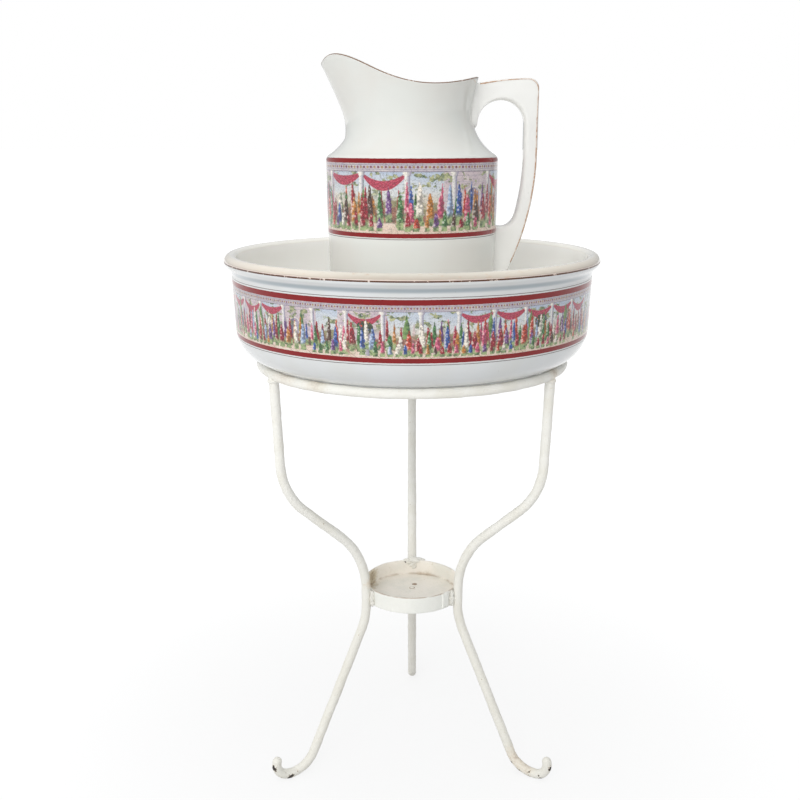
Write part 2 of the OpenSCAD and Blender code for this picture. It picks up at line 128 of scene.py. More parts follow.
class Nodes:
    """Builds the nodes of a new material or world. Inputs may be plain numbers, written
    colours or values, and coat is the colour that has been laid on so far."""

    def __init__(self, name, kind="Material"):
        self.owner = getattr(bpy.data, kind.lower() + "s").new(name)
        self.owner.use_nodes = True
        self.tree = self.owner.node_tree
        self.tree.nodes.clear()
        self.end = self.tree.nodes.new("ShaderNodeOutput" + kind)
        self.coat = None

    def put(self, socket, value):
        if isinstance(value, Value):
            self.tree.links.new(value.socket, socket)
        else:
            socket.default_value = colour(value) if isinstance(value, str) else value

    def add(self, kind, inputs=(), out=0, **settings):
        """A new node's output. Its inputs are given in order, or under their names."""
        node = self.tree.nodes.new("ShaderNode" + kind)
        for key, value in settings.items():
            setattr(node, key, value)
        named = inputs if isinstance(inputs, dict) else dict(enumerate(inputs))
        for key, value in named.items():
            self.put(node.inputs[key], value)
        return Value(self, node.outputs[out])

    def math(self, operation, *values, clamp=False):
        return self.add("Math", values, operation=operation, use_clamp=clamp)

    def most(self, first, *others):
        for other in others:
            first = self.math("MAXIMUM", first, other)
        return first

    def length(self, x, y):
        return self.math("SQRT", x * x + y * y)

    def mix(self, share, a, b):
        return self.add("Mix", {0: share, 6: a, 7: b}, 2, data_type="RGBA")

    def fade(self, value, low, high, a, b):
        """Colour a where value is under low, and b where it is over high."""
        return self.mix(self.step(value, low, high), a, b)

    def lay(self, share, tone):
        """Lays a colour over the coat."""
        self.coat = self.mix(share, self.coat, tone)

    def step(self, value, low, high, out_low=0.0, out_high=1.0):
        """Goes smoothly from out_low to out_high as value goes from low to high."""
        return self.add("MapRange", (value, low, high, out_low, out_high),
                        interpolation_type="SMOOTHSTEP")

    def over(self, a, b=0.0, blur=0.008):
        """1 where a is over b, with a soft edge."""
        return self.step(a - b, -blur, blur)

    def within(self, value, low, high, blur=0.008):
        return self.over(value, low, blur) * self.over(high, value, blur)

    def noise(self, vector, scale, detail=2.0, rough=0.5):
        return self.add("TexNoise", {"Vector": vector, "Scale": scale, "Detail": detail,
                                     "Roughness": rough})

    def voronoi(self, vector, scale, out="Distance"):
        return self.add("TexVoronoi", {"Vector": vector, "Scale": scale}, out)

    def random(self, w):
        """Three random numbers from 0 to 1 for each whole number w."""
        return self.split(self.add("TexWhiteNoise", {"W": w}, "Color", noise_dimensions="1D"))

    def split(self, vector):
        x = self.add("SeparateXYZ", [vector])
        return [Value(self, socket) for socket in x.socket.node.outputs]

    def vector(self, x, y, z):
        return self.add("CombineXYZ", (x, y, z))

    def place(self):
        """The piece's own coordinates in millimetres, as a vector."""
        metres = self.add("TexCoord", out="Object")
        return self.add("VectorMath", {0: metres, "Scale": 1 / MM}, operation="SCALE")

    def ramp(self, value, stops, interpolation="LINEAR"):
        out = self.add("ValToRGB", [value])
        ramp = out.socket.node.color_ramp
        ramp.interpolation = interpolation
        while len(ramp.elements) < len(stops):
            ramp.elements.new(0.5)
        for element, (position, tone) in zip(ramp.elements, stops):
            element.position = position
            element.color = colour(tone)
        return out

    def bump(self, height, strength, distance):
        return self.add("Bump", {"Strength": strength, "Distance": distance * MM,
                                 "Height": height})

    def surface(self, **inputs):
        """Ends the nodes in a Principled shader of the coat's colour."""
        named = {key.replace("_", " "): value for key, value in inputs.items()}
        return self.finish(self.add("BsdfPrincipled", {"Base Color": self.coat, **named}))

    def finish(self, shader):
        self.put(self.end.inputs[0], shader)
        return self.owner


def colour(code):
    """A written colour such as #E8E5DA as linear RGBA."""
    parts = [int(code[i:i + 2], 16) / 255 for i in (1, 3, 5)]
    return [c / 12.92 if c <= 0.04045 else ((c + 0.055) / 1.055) ** 2.4 for c in parts] + [1.0]


# ---- Materials ----

def make_paint(name, base, dirt, stain_and_shade_tones, stains_and_shade_at, chip_at=()):
    """Thick cream paint on iron. Its stains have a given tone and two of its core at listed
    (place, radius, share), some of them painted shade where a part lies in shadow, and its chips
    are listed (place, radius) spots knocked off to the black iron. Without chips it is the
    tray's paint."""
    n = Nodes(name)
    p = n.place()
    _, _, z = n.split(p)
    n.coat = n.fade(n.noise(p, 0.035, 3), 0.42, 0.7, base, "#EEEBE1")
    if chip_at:
        # Greyer towards the feet: painted shade, toning down the light that they get from the
        # floor
        n.lay(n.step(z, 330.0, 120.0, 0, 0.4), "#DCD8CC")
    n.lay(n.step(n.noise(p, 0.16, 4, 0.65), 0.56, 0.78, 0, 0.5), dirt)
    # Dull yellowing in small spots
    n.lay(n.step(n.noise(p, 0.5, 2), 0.64, 0.74, 0, 0.35), "#D2C6A8")
    rough = n.step(n.noise(p, 0.3, 2), 0.3, 0.8, 0.34, 0.5)
    fray = n.noise(p, 0.35, 4, 0.6)

    def nearness(place, radius, ragged):
        """1 at the place, 0 at the radius, with a ragged edge."""
        away = n.add("VectorMath", (p, place), "Value", operation="DISTANCE")
        return 1.0 - away / radius + (fray - 0.5) * ragged

    # Rust and grime stains, and patches of painted shade laid in the same tones
    for place, radius, share in stains_and_shade_at:
        amount = nearness(place, radius, 1.1)
        n.lay(n.step(amount, 0.0, 0.6, 0, 0.85 * share), stain_and_shade_tones[0])
        n.lay(n.step(amount, 0.5, 1.0, 0, share), n.fade(fray, 0.35, 0.7, *stain_and_shade_tones[1:]))
    if chip_at:
        flake = n.noise(p, 0.17, 3, 0.7) + n.step(z, 16.0, 1.0) * 0.17
        for place, radius in chip_at:
            flake = n.most(flake, nearness(place, radius, 1.2) * 0.5 + 0.5)
        bare = n.step(flake, 0.74, 0.755)
        n.lay(n.step(flake, 0.7, 0.74, 0, 0.6), "#A98F6C")
        n.lay(bare, n.mix(n.noise(p, 0.9, 3), "#171514", "#3E3530"))
        rough = rough + bare * 0.25
    else:
        lay_tray_stains_and_shade(n, p, fray)
    lumps = n.noise(p, 0.28, 3, 0.55) + n.noise(p, 1.1, 2) * 0.25
    return n.surface(Roughness=rough, Normal=n.bump(lumps, 0.55, 0.9))


def lay_tray_stains_and_shade(n, p, fray):
    """What the tray has besides: a whiter outside, a brown line along its top edge in front that
    is painted shade on the edge's rounding, a brown line where wall and floor meet, a brown ring
    of painted shade on the rivet head's rounded shoulder and a dark ring round the drip hole."""
    x, y, z = n.split(p)
    r = n.length(x, y)
    inner, floor = TRAY_R - TRAY_WALL, TRAY_Z + TRAY_FLOOR
    n.lay(n.step(r, inner + 1.0, inner + 1.6, 0, 0.75), "#EFF0EA")
    # Along the top edge, painted shade on its rounding, strongest in front; and a brown line
    # where the wall meets the floor
    edge = n.step(z, TRAY_TOP - 1.0, TRAY_TOP - 0.4) * n.step(y, 15.0, -10.0, 0.1, 1.0)
    foot = (n.step(r, inner - 3.5, inner - 0.5, 0, 0.6) * n.step(z, floor + 3.0, floor + 0.5)
            * n.step(r, inner + 1.2, inner + 0.8))
    patchy = n.step(n.noise(p, 0.07, 3), 0.36, 0.6)
    n.lay(n.most(edge, foot) * patchy * 0.6, "#A88868")
    # Brown rings: painted shade on the rivet head's rounded shoulder, and a dark ring round the
    # drip hole
    for (mid_x, mid_y), low, high in (((0.0, RIVET_Y), 2.4, 3.0), (DRIP_AT, -1.0, 2.9)):
        away = n.length(x - mid_x, y - mid_y)
        ring = n.step(away, low - 0.3, low + 0.3) * n.step(away, high + 0.7, high - 0.3, 0, 0.85)
        n.lay(ring, n.mix(fray, "#B79878", "#5E4A3A"))


def make_glaze(name, base, tint, cove_shade=None):
    """Glossy white glaze with a slow drift in tone and a few pin-sized specks. The last argument
    gives the heights of a blue-grey band of painted shade, as in the cove under a rim."""
    n = Nodes(name)
    p = n.place()
    n.coat = n.fade(n.noise(p, 0.02, 2), 0.35, 0.7, base, tint)
    if cove_shade:
        _, _, z = n.split(p)
        # A blue-grey band of painted shade between those heights
        n.lay(n.step(z, cove_shade[0], cove_shade[0] + 3) * n.step(z, cove_shade[1], cove_shade[1] - 3), "#A6B0B6")
    specks = n.step(n.voronoi(p, 0.075), 0.03, 0.016)
    n.lay(specks * n.step(n.noise(p, 0.05, 1), 0.5, 0.56) * 0.55, "#6E5B49")
    return n.surface(Roughness=n.step(n.noise(p, 0.12, 2), 0.3, 0.8, 0.06, 0.11),
                     Coat_Weight=0.3, Coat_Roughness=0.04,
                     Normal=n.bump(n.noise(p, 0.045, 2), 0.12, 1.2))


def make_rim_wear_and_light(name):
    """The rim's roll, its gilding rubbed down to a warm stain above the line that is left, with a
    painted highlight just over that line and a painted darker reflection on its top in front.
    """
    n = Nodes(name)
    p = n.place()
    x, y, z = n.split(p)
    up = (z - ROLL_LOW) / (RIM_Z - ROLL_LOW) + (n.noise(p, 0.09, 3) - 0.5) * 0.14
    # The pale stop at 0.24 is a painted highlight along the roll, just over the gilt line
    n.coat = n.ramp(up, [(0.1, "#DEE0DF"), (0.24, "#E5D6CC"), (0.31, "#DDCEC2"),
                         (0.39, "#BDB0A2"), (0.62, "#C6BDB0"), (1.0, "#DAD5C9")])
    rubs = n.noise(n.vector(x * 0.12, y * 0.12, z * 0.5), 1.0, 3)
    n.lay(n.step(rubs, 0.6, 0.72, 0, 0.35), "#C79E7C")
    # Paler to the sides, which leaves the top darker in front as a painted reflection, and over
    # the inside a near-white cream, painted light as on the basin's inside
    above = n.step(up, 0.35, 0.45)
    n.lay(above * n.step(abs(x), 20.0, 120.0, 0, 0.45), "#F3E9DB")
    inward = n.step(n.length(x, y), ROLL_MID[0] + 3, ROLL_MID[0] - 1.5, 0, 0.9)
    n.lay(above * inward, "#FCFAF3")
    return n.surface(Roughness=0.12, Coat_Weight=0.3, Coat_Roughness=0.04)


def make_gilt(name, wear, *tones, metal=0.3):
    """Thin gilding that has worn through to a brown ground and to the glaze."""
    n = Nodes(name)
    p = n.place()
    bare = n.step(n.noise(p, 0.16, 5, 0.7), wear, wear + 0.07)
    n.coat = n.mix(n.noise(p, 0.5, 2), *tones)
    n.lay(bare, n.mix(n.noise(p, 0.3, 1), "#E3DDD4", "#D9BFAE"))
    return n.surface(Metallic=metal - bare * metal, Roughness=0.3)


stand_paint = make_paint(
    "stand_paint", "#F4F2EB", "#DEDACE", ("#DFCDB2", "#C2A07A", "#8A6444"), [
        ((146, -84, 474), 16, 0.35), ((118, -66, 18), 20, 0.4), ((132, -74, 8), 16, 0.35),
        ((-54, -24, 197), 9, 0.4), ((-50, -29, 217), 9, 0.7), ((0, 165, 466), 18, 0.3),
        ((-125, -105, 475), 26, 0.25), ((-92, -137, 472), 20, 0.2)], [
        ((-139, -84, 2), 7), ((-157, -94, 18), 9), ((113, -70, 12), 4.5), ((122, -74, 3), 7),
        ((146, -88, 3), 5), ((157, -94, 18), 7.5), ((-5, 137, 36), 3), ((-5, 147, 16), 3),
        ((-8.5, 50.5, 206.5), 2.6), ((-5, 159, 2), 5)])
# The tray's paint is warmer and a little lighter than the stand's: partly its own tone, partly
# painted light where the basin shades the tray. Its first two stains, on the inside of the wall's
# left end, are painted shade where that end lies in shadow.
tray_paint = make_paint(
    "tray_paint", "#FBF5EB", "#EEE5D8", ("#CFC2A8", "#BAA88E", "#96805F"), [
        ((-47.5, 23.5, 200), 15, 1.0), ((-51, 13, 198), 13, 0.9), ((-49, -18, 206), 8, 0.7),
        ((10, 52, 191.5), 6, 0.3), ((19, 49.5, 191.5), 7, 0.3), ((52, 6, 196), 7, 0.3),
        ((49, -20, 203), 7, 0.4)])
jug_glaze = make_glaze("glaze_jug", "#DEDFDA", "#DDDBD5")
basin_glaze = make_glaze("glaze_basin", "#DBDDDE", "#D8D9D7", (568.6, 575.8))
# The basin's inside glaze, far lighter than its outside's: painted light on the inside walls
lit_cream_glaze = make_glaze("glaze_cream_lit", "#FFFEFA", "#FDFCF7")
# The handle's glaze is lighter than the jug's: painted light on the handle's face
lit_handle_glaze = make_glaze("glaze_handle_lit", "#F2F1ED", "#EDECE8")
rim_glaze = make_rim_wear_and_light("glaze_rim")
gilt_rim = make_gilt("gilt_rim", 0.57, "#6B4630", "#45281D")
gilt_lip = make_gilt("gilt_lip", 0.57, "#8E6444", "#6A4330")
gilt_handle = make_gilt("gilt_handle", 0.47, "#C9A688", "#B98A68")

# Body and slot of what each piece belongs to, and the paints where one material does
IRON = ("stand", "stand_paint", stand_paint)
TRAY = ("stand", "tray_paint", tray_paint)
BASIN = ("basin", "basin_glaze")
JUG = ("jug", "jug_glaze")


# ---- Mesh helpers ----

def add_object(name, data):
    ob = bpy.data.objects.new(name, data)
    scene.collection.objects.link(ob)
    return ob


def add_mesh(name, verts, faces, *materials):
    mesh = bpy.data.meshes.new(name)
    mesh.from_pydata((np.asarray(verts, float) * MM).tolist(), [], faces)
    mesh.polygons.foreach_set("use_smooth", [len(face) <= 4 for face in faces])
    mesh.update()
    for material in materials:
        mesh.materials.append(material)
    return add_object(name, mesh)


def add_piece(name, verts, faces, body, slot_name, *materials):
    ob = add_mesh(name, verts, faces, *materials)
    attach(ob, body)
    return ob


def flipped(faces):
    return [face[::-1] for face in faces]


def loft_faces(count, sides, loop=False, caps=True):
    """Faces between count rings of sides points each, laid out one after the other."""
    faces = []
    for k in range(count if loop else count - 1):
        a, b = k * sides, (k + 1) % count * sides
        for i in range(sides):
            j = (i + 1) % sides
            faces.append((a + i, a + j, b + j, b + i))
    if caps and not loop:
        faces.append(tuple(range(sides))[::-1])
        faces.append(tuple((count - 1) * sides + i for i in range(sides)))
    return faces


def closed_faces(count, sides):
    """Faces between count rings, closed by two last points: one below the first ring and
    one over the last."""
    faces = loft_faces(count, sides, caps=False)
    first, last, low = count * sides, count * sides + 1, (count - 1) * sides
    faces += [(first, (i + 1) % sides, i) for i in range(sides)]
    return faces + [(last, low + i, low + (i + 1) % sides) for i in range(sides)]


def revolve(name, profile, steps, *look, y=0.0):
    """A body turned about an upright axis. The profile's first and last points lie on it."""
    turns = np.linspace(0, 2 * pi, steps, endpoint=False)
    verts = [(r * cos(a), y + r * sin(a), z) for r, z in profile[1:-1] for a in turns]
    verts += [(0, y, profile[0][1]), (0, y, profile[-1][1])]
    return add_piece(name, verts, closed_faces(len(profile) - 2, steps), *look)


def polar(r, a, z):
    return r * cos(a), r * sin(a), z


def turned(points, angle):
    """Points turned about Z by that many degrees."""
    c, s = cos(radians(angle)), sin(radians(angle))
    x, y, z = np.asarray(points, float).T
    return np.stack([c * x - s * y, s * x + c * y, z], 1)


def arc(mid, r, first, last, steps, skip=0):
    """Points on a round stretch about mid, in degrees."""
    angles = [radians(first + (last - first) * k / steps) for k in range(skip, steps + 1)]
    return [(mid[0] + r * cos(a), mid[1] + r * sin(a)) for a in angles]


def line(a, b, steps):
    """Points from a, which is left out, to b."""
    return [(a[0] + (b[0] - a[0]) * k / steps, a[1] + (b[1] - a[1]) * k / steps)
            for k in range(1, steps + 1)]


def smooth_line(points, steps):
    """A smooth curve from the first point, which is left out, with that many steps between
    each two."""
    p = np.array([points[0], *points, points[-1]], float)
    out = []
    for a, b, c, d in zip(p, p[1:], p[2:], p[3:]):
        for s in range(1, steps + 1):
            t = s / steps
            out.append(tuple(0.5 * (2 * b + (c - a) * t + (2 * a - 5 * b + 4 * c - d) * t * t
                                    + (3 * b - a - 3 * c + d) * t ** 3)))
    return out


def lump(point, scale, seed=0.0):
    return noise.noise(Vector(point) * scale + Vector((seed, 2 * seed, 0)))


def painted_rod(centres, normals, sides, radius, lumps, seed, across):
    """Rings of a round rod whose paint is uneven. across is the rods' common sideways axis."""
    rings = []
    across = np.array(across, float)
    for c, n, r in zip(centres, normals, np.broadcast_to(radius, len(centres))):
        for i in range(sides):
            a = 2 * pi * i / sides
            out = cos(a) * n + sin(a) * across
            at = c + r * out
            thick = lumps * (0.6 * lump(at, 0.07, seed) + 0.5 * lump(at, 0.21, seed))
            rings.append(c + (r + thick) * out)
    return np.array(rings)


# ---- Stand ----

def bend(r, angle):
    """A round stretch as (length, degrees)."""
    return r * radians(abs(angle)), angle


def walk(start, heading, moves, pitch=2.0):
    """Points and headings along moves of (length, degrees turned on the way)."""
    at = np.array(start, float)
    points, headings = [at], [heading]
    for length, angle in moves:
        steps = max(1, round(length / pitch))
        for _ in range(steps):
            heading += angle / steps / 2
            a = radians(heading)
            at = at + length / steps * np.array([cos(a), sin(a)])
            heading += angle / steps / 2
            points.append(at)
            headings.append(heading)
    return np.array(points), np.array(headings)


def leg_runs():
    """The lengths of the straight parts of a leg: slope, top and shin."""
    knee, lean, splay = radians(KNEE), radians(LEAN), radians(SPLAY)
    knee_end = np.array([LEG_AXIS_R + KNEE_R * (1 - cos(knee)), TRAY_TOP + KNEE_R * sin(knee)])
    shoulder = SHOULDER_R * np.array([cos(lean) - cos(knee), sin(knee) - sin(lean)])
    out, up = np.array([HOOP_R, HOOP_Z]) - knee_end - shoulder
    slope = (out * cos(lean) - up * sin(lean)) / sin(knee - lean)
    upper = (up * sin(knee) - out * cos(knee)) / sin(knee - lean)
    shin = (TRAY_Z - WAIST_R * sin(splay) - FOOT_R * (1 - sin(splay))
            - (ROD_R - FOOT_WEAR)) / cos(splay)
    return slope, upper, shin


def make_leg(name, angle, seed):
    slope, upper, shin = leg_runs()
    start = (LEG_AXIS_R, TRAY_Z)
    up, up_dir = walk(start, 90, [(TRAY_H, 0), bend(KNEE_R, -KNEE), (slope, 0),
                                  bend(SHOULDER_R, KNEE - LEAN), (upper, 0)])
    down, down_dir = walk(start, -90, [bend(WAIST_R, SPLAY), (shin, 0),
                                       bend(FOOT_R, 90 - SPLAY), (FOOT_FLAT, 0),
                                       bend(TOE_R, TOE_TURN), (TOE_TIP, 0)])
    path = np.concatenate([down[::-1], up[1:]])
    heading = np.radians(np.concatenate([down_dir[::-1] + 180, up_dir[1:]]))
    # Round tip of the toe, which points against the path
    bulge = np.linspace(1.45, 0.25, 6)
    tips = path[0] - ROD_R * np.outer(np.sin(bulge), [cos(heading[0]), sin(heading[0])])
    radius = np.concatenate([ROD_R * np.cos(bulge), np.full(len(path), ROD_R)])
    path = np.concatenate([tips, path])
    heading = np.concatenate([np.full(len(tips), heading[0]), heading])
    level = np.zeros(len(path))
    centres = np.stack([path[:, 0], level, path[:, 1]], 1)
    normals = np.stack([-np.sin(heading), level, np.cos(heading)], 1)
    sides = 28
    verts = painted_rod(centres, normals, sides, radius, 0.55, seed, (0, 1, 0))
    # The paint stays just clear of the floor
    verts[:, 2] = np.maximum(verts[:, 2], 0.02)
    ob = add_piece("leg_%s_rod" % name, turned(verts, angle), loft_faces(len(path), sides), *IRON)
    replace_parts(ob, "leg_" + name)


def rod_ring(ring_r, ring_z, rod_r, steps, sides, lumps, seed):
    """Points and faces of a closed ring of rod about Z."""
    a = np.linspace(0, 2 * pi, steps, endpoint=False)
    outward = np.stack([np.cos(a), np.sin(a), np.zeros(steps)], 1)
    verts = painted_rod(outward * ring_r + [0, 0, ring_z], outward, sides, rod_r, lumps, seed,
                        (0, 0, 1))
    return verts, loft_faces(steps, sides, loop=True)


def make_hoop():
    verts, faces = rod_ring(HOOP_R, HOOP_Z, ROD_R, steps=480, sides=28, lumps=0.5, seed=9.0)
    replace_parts(add_piece("hoop_rod", verts, faces, *IRON), "hoop")


def make_hoop_weld(name, angle):
    """A ring of weld round a leg's top, buried in paint, leaning with the leg."""
    verts, faces = rod_ring(ROD_R - WELD_IN, -ROD_R - WELD_DROP, WELD_R, steps=48, sides=16,
                            lumps=0.7, seed=angle)
    c, s = cos(radians(LEAN)), sin(radians(LEAN))
    x, y, z = verts.T
    verts = np.stack([x * c + z * s, y, z * c - x * s], 1) + [HOOP_R, 0, HOOP_Z]
    ob = add_piece("hoop_weld_" + name, turned(verts, angle), faces, *IRON)
    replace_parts(ob, "hoop_welds")


for index, (leg_name, leg_angle) in enumerate(LEG_DIRS.items()):
    make_leg(leg_name, leg_angle, 3.1 * index)
make_hoop()
for leg_name, leg_angle in LEG_DIRS.items():
    make_hoop_weld(leg_name, leg_angle)


# ---- Tray ----

def make_tray_wall():
    """The wall strip, its edges rounded by paint."""
    soft = 0.85
    inner, outer = TRAY_R - TRAY_WALL + soft, TRAY_R - soft
    low, high = TRAY_Z + soft, TRAY_TOP - soft
    corners = []
    for mid, first in (((outer, high), 0), ((inner, high), 90), ((inner, low), 180),
                       ((outer, low), 270)):
        corners += arc(mid, soft, first, first + 90, 3)
    # More points down the two faces, so that the paint can run there
    section = []
    for a, b in zip(corners, corners[1:] + corners[:1]):
        section += [a] + line(a, b, 7 if abs(b[1] - a[1]) > 5 else 1)[:-1]
    steps = 260
    verts = []
    for k in range(steps):
        a = 2 * pi * k / steps
        for r, z in section:
            at = polar(r, a, z)
            push = 0.28 * lump(at, 0.16, 5) + 0.2 * lump(at, 0.05, 7)
            run = 0.35 * lump(polar(r, a, 0), 0.06, 11) if z > TRAY_Z + TRAY_H / 2 else 0
            side = 1 if r > TRAY_R - TRAY_WALL / 2 else -1
            verts.append(polar(min(r + side * push, TRAY_R + 0.4), a, z + run))
    ob = add_piece("tray_wall_strip", verts, loft_faces(steps, len(section), loop=True), *TRAY)
    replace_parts(ob, "tray_wall")


def make_lap():
    """The strip's lapped end, a thin plate against the wall with softened edges."""
    rows, cols = 15, 13
    verts = []
    for u in np.linspace(-1, 1, rows):
        a = radians((LAP_START + LAP_END) / 2 + u * (LAP_END - LAP_START) / 2)
        for side, order in ((1, 1), (0, -1)):
            for v in np.linspace(-1, 1, cols)[::order]:
                z = TRAY_Z + TRAY_H / 2 + v * (TRAY_H / 2 - 0.5)
                edge = sqrt((1 - abs(u) ** 8) * (1 - abs(v) ** 10))
                bumps = 0.3 * lump(polar(TRAY_R, a, z), 0.3, 2)
                r = TRAY_R - 0.7 + side * (0.5 + (LAP_T + 0.1 + bumps) * edge)
                verts.append(polar(r, a, z))
    add_piece("tray_lap", verts, flipped(loft_faces(rows, 2 * cols)), *TRAY)


def make_blob(size, lumps, seed, steps=16):
    """A lumpy drop of paint or weld of that half size."""
    verts = []
    for k in range(1, steps):
        t = pi * k / steps
        for i in range(2 * steps):
            a = pi * i / steps
            d = np.array(polar(sin(t), a, cos(t)))
            grow = 1 + lumps * (noise.noise(Vector(d * 1.6) + Vector((seed, 0, 0)))
                                + 0.5 * noise.noise(Vector(d * 4) + Vector((0, seed, 0))))
            verts.append(d * grow)
    verts += [(0, 0, 1), (0, 0, -1)]
    return np.array(verts) * size, flipped(closed_faces(steps - 1, 2 * steps))


def add_lumps(name, parts, angle):
    """One piece of several drops run together, each (middle, half size, lumps, seed),
    laid out along +X and then turned about the stand's axis."""
    verts, faces = [], []
    for middle, size, lumps, seed in parts:
        points, sides = make_blob(size, lumps, seed)
        faces += [tuple(i + len(verts) for i in face) for face in sides]
        verts += list(points + middle)
    return add_piece(name, turned(verts, angle), faces, *IRON)


def make_tray_welds():
    """Beads down the nooks between the legs and the tray's wall, and paint run over the
    wall's edge behind."""
    nook = degrees(atan2(ROD_R + 1, TRAY_R))
    for leg_name, leg_angle in LEG_DIRS.items():
        for side, letter in ((-1, "a"), (1, "b")):
            seed = leg_angle + side
            drops = []
            for k, (rise, wide, long) in enumerate(((-5.6, 2.3, 4.0), (-0.4, 2.7, 4.6),
                                                    (5.2, 2.4, 4.1))):
                sway = 0.7 * lump((seed, k, 0), 0.9)
                drops.append(((TRAY_R + 1.3, sway, TRAY_Z + TRAY_H / 2 + rise),
                              (wide, wide + 0.3, long), 0.5, seed + 2.7 * k))
            bead = add_lumps("tray_bead_%s_%s" % (leg_name, letter), drops,
                             leg_angle + side * nook)
            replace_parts(bead, "tray_welds")
    add_lumps("tray_run_back", [
        ((TRAY_R - 0.8, -3.5, TRAY_TOP - 0.3), (3.6, 8.5, 3.6), 0.5, 4.0),
        ((TRAY_R - 1.4, 5.5, TRAY_TOP - 1.2), (2.8, 6.0, 3.4), 0.5, 9.0),
        ((TRAY_R - 2.2, -1.5, TRAY_TOP - 5.0), (1.9, 4.6, 4.4), 0.6, 13.0),
        ((TRAY_R - 0.6, -11.0, TRAY_TOP - 0.2), (2.6, 4.6, 2.0), 0.5, 17.0)], LEG_DIRS["back"])


def make_rivet():
    """The rivet's head inside the tray and its upset end below."""
    head = [(3.7, -0.4), (RIVET_R, -0.1), (3.8, RIVET_H * 0.4), (3.3, RIVET_H * 0.8),
            (2.6, RIVET_H), (1.9, RIVET_H * 0.95), (1.2, RIVET_H * 0.6), (0, RIVET_H * 0.55)]
    end = [(0, -1.2), (2.6, -1.0), (3.2, -0.5), (3.1, 0.3)]
    profile = [(r, TRAY_Z + h) for r, h in end] + [(r, TRAY_Z + TRAY_FLOOR + h) for r, h in head]
    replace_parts(revolve("tray_rivet_head", profile, 48, *TRAY, y=RIVET_Y), "tray_rivet")


make_tray_wall()
make_lap()
make_tray_welds()
make_rivet()
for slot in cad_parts["tray_floor"].material_slots:
    slot.material = tray_paint


# ---- Basin ----

def side_r(z):
    """Radius of the basin's straight side, or of the bend under it, at height z."""
    if z >= BEND_MID[1]:
        share = (z - BEND_MID[1]) / (SIDE_TOP_Z - BEND_MID[1])
        return SIDE_LOW_R + (SIDE_TOP_R - SIDE_LOW_R) * share
    return BEND_MID[0] + sqrt(BEND_R ** 2 - (BEND_MID[1] - z) ** 2)


def basin_outside():
    """From the middle of the underside out, up the side and over the rim's roll."""
    ring_in = FOOT_RING_R - FOOT_RING_T
    low = UNDER_Z - FOOT_RING_H
    points = [(0, UNDER_Z)] + line((0, UNDER_Z), (ring_in - 3, UNDER_Z), 8)
    points += arc((ring_in - 3, UNDER_Z - 3), 3, 90, 0, 4, 1)
    points += arc((ring_in + 3, low + 3), 3, 180, 270, 4)
    points += arc((FOOT_RING_R - 2.5, low + 2.5), 2.5, 270, 360, 4)
    points += arc((FOOT_RING_R + 3, UNDER_Z - 3), 3, 180, 90, 4)
    points += line(points[-1], (BEND_MID[0], UNDER_Z), 2)
    points += arc(BEND_MID, BEND_R, -90, 0, 24, 1)
    points += line(points[-1], (SIDE_TOP_R, SIDE_TOP_Z), 16)
    roll = arc(ROLL_MID, ROLL_R, -32, 90, 18)
    flare = [(SIDE_TOP_R + out, SIDE_TOP_Z + up)
             for out, up in ((0, 0), (0.5, 2.4), (2.0, 5.2), (4.4, 8.0))]
    return points + smooth_line(flare + roll[:1], 4) + roll[1:]


def basin_inside():
    """From the top of the rim down the inner wall to the middle of the floor."""
    wall = SIDE_TOP_R - BASIN_T
    points = arc(ROLL_MID, ROLL_R, 90, 150, 8, 1)
    points += smooth_line([points[-1], (wall + 0.35, ROLL_MID[1] - 0.5),
                           (wall, ROLL_MID[1] - 5), (wall - 0.1, SIDE_TOP_Z)], 4)
    points += line(points[-1], (SIDE_LOW_R - BASIN_T, BEND_MID[1]), 14)
    points += arc(BEND_MID, BEND_R - BASIN_T, 0, -90, 20, 1)
    return points + line(points[-1], (0, UNDER_Z + BASIN_T), 12)


def make_basin(steps=288):
    outside = basin_outside()
    ob = revolve("basin_bowl", outside + basin_inside(), steps, *BASIN, basin_glaze, rim_glaze,
                 lit_cream_glaze)
    # The rim's material goes nine rows past the top of the roll, and the lightened cream glaze
    # lines the rest
    rows = [0 if z < ROLL_LOW else 1 for _, z in outside[1:-1]] + [1] * 9
    rows += [2] * (len(ob.data.polygons) // steps - 2 - len(rows)) + [0, 2]
    for face in ob.data.polygons:
        face.material_index = rows[face.index // steps]
    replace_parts(ob, "basin")


def make_bands(name, outline, count, start, steps, along_r, *look, sink=SINK):
    """A printed strip in count pieces: outline's (r, z) points carried round from start, in
    degrees, with a closed back sunk into the wall. Each point keeps (length along, height)
    for the print, with the length as at the radius along_r."""
    section = outline + [(r - sink, z) for r, z in outline[::-1]]
    slope = np.gradient(np.array(outline), axis=0)
    slope /= np.linalg.norm(slope, axis=1)[:, None]
    slope = np.concatenate([slope, slope[::-1]])
    for index in range(count):
        first = start + index * 360 / count
        angles = np.radians(np.linspace(first, first + 360 / count, steps + 1))
        verts = [polar(r, a, z) for a in angles for r, z in section]
        ob = add_piece("%s_%d" % (name, index + 1), verts,
                       flipped(loft_faces(steps + 1, len(section))), *look)
        # Smooth only on its face, and with the wall's own normals, so that its ends stay unseen
        for face in ob.data.polygons:
            at = face.index % len(section)
            face.use_smooth = at < len(outline) - 1 and face.index < steps * len(section)
        ob.data.normals_split_custom_set_from_vertices(
            [polar(dz, a, -dr) for a in angles for dr, dz in slope])
        where = [(a * along_r, z, 0) for a in angles for _, z in section]
        attr = ob.data.attributes.new("print_at", "FLOAT_VECTOR", "POINT")
        attr.data.foreach_set("vector", np.ravel(where))


# ---- Print ----

FLOWER_TONES = [(0.0, "#A3122A"), (0.27, "#2F5AA8"), (0.36, "#EFE6D8"), (0.44, "#C77F2C"),
                (0.52, "#3C7A3E"), (0.62, "#D4587C"), (0.72, "#74458A"), (0.81, "#CC3F1E"),
                (0.9, "#9DB4D6"), (0.95, "#54362A")]


